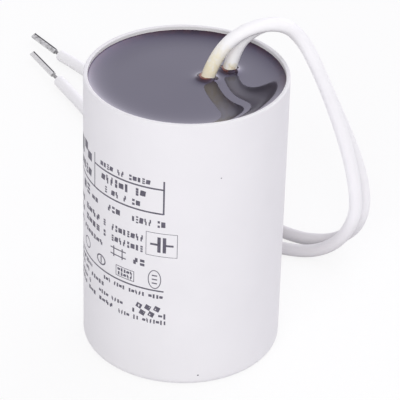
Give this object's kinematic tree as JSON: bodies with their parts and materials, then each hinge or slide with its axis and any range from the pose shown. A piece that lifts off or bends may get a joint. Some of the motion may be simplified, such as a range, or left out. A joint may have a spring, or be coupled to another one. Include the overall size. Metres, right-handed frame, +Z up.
{
  "type": "motor capacitor",
  "caption": "Round motor capacitor in a white plastic can, potted with dark glossy resin, with loose white insulated leads ending in stripped, pressed strands.",
  "frame": {"origin": "centre of the can's foot, on the surface that the can stands on", "axes": "+Z up along the can's axis, out of the resin; +X to the side over which the leads leave; +Y to the back, where the leads lie"},
  "size_m": [0.0885, 0.1606, 0.0775],
  "materials": {
    "can_plastic": "satin off-white moulded plastic",
    "resin": "very glossy dark brown cast resin",
    "wound_film": "metallised film, wound",
    "core_plastic": "natural moulded plastic",
    "sprayed_zinc": "dull grey sprayed metal",
    "solder": "bright solder",
    "lead_sleeve": "satin white extruded sleeve",
    "tinned_strands": "tinned copper strands, pressed bright at the tip"
  },
  "bodies": {
    "root": {"can": "can_plastic", "potting_resin": "resin", "film_winding": "wound_film", "winding_core": "core_plastic", "lower_contact": "sprayed_zinc", "upper_contact": "sprayed_zinc", "lower_solder": "solder", "upper_solder": "solder", "lead_a_insulation": "lead_sleeve", "lead_b_insulation": "lead_sleeve", "lead_a_conductor": "tinned_strands", "lead_b_conductor": "tinned_strands"}
  },
  "joints": []
}
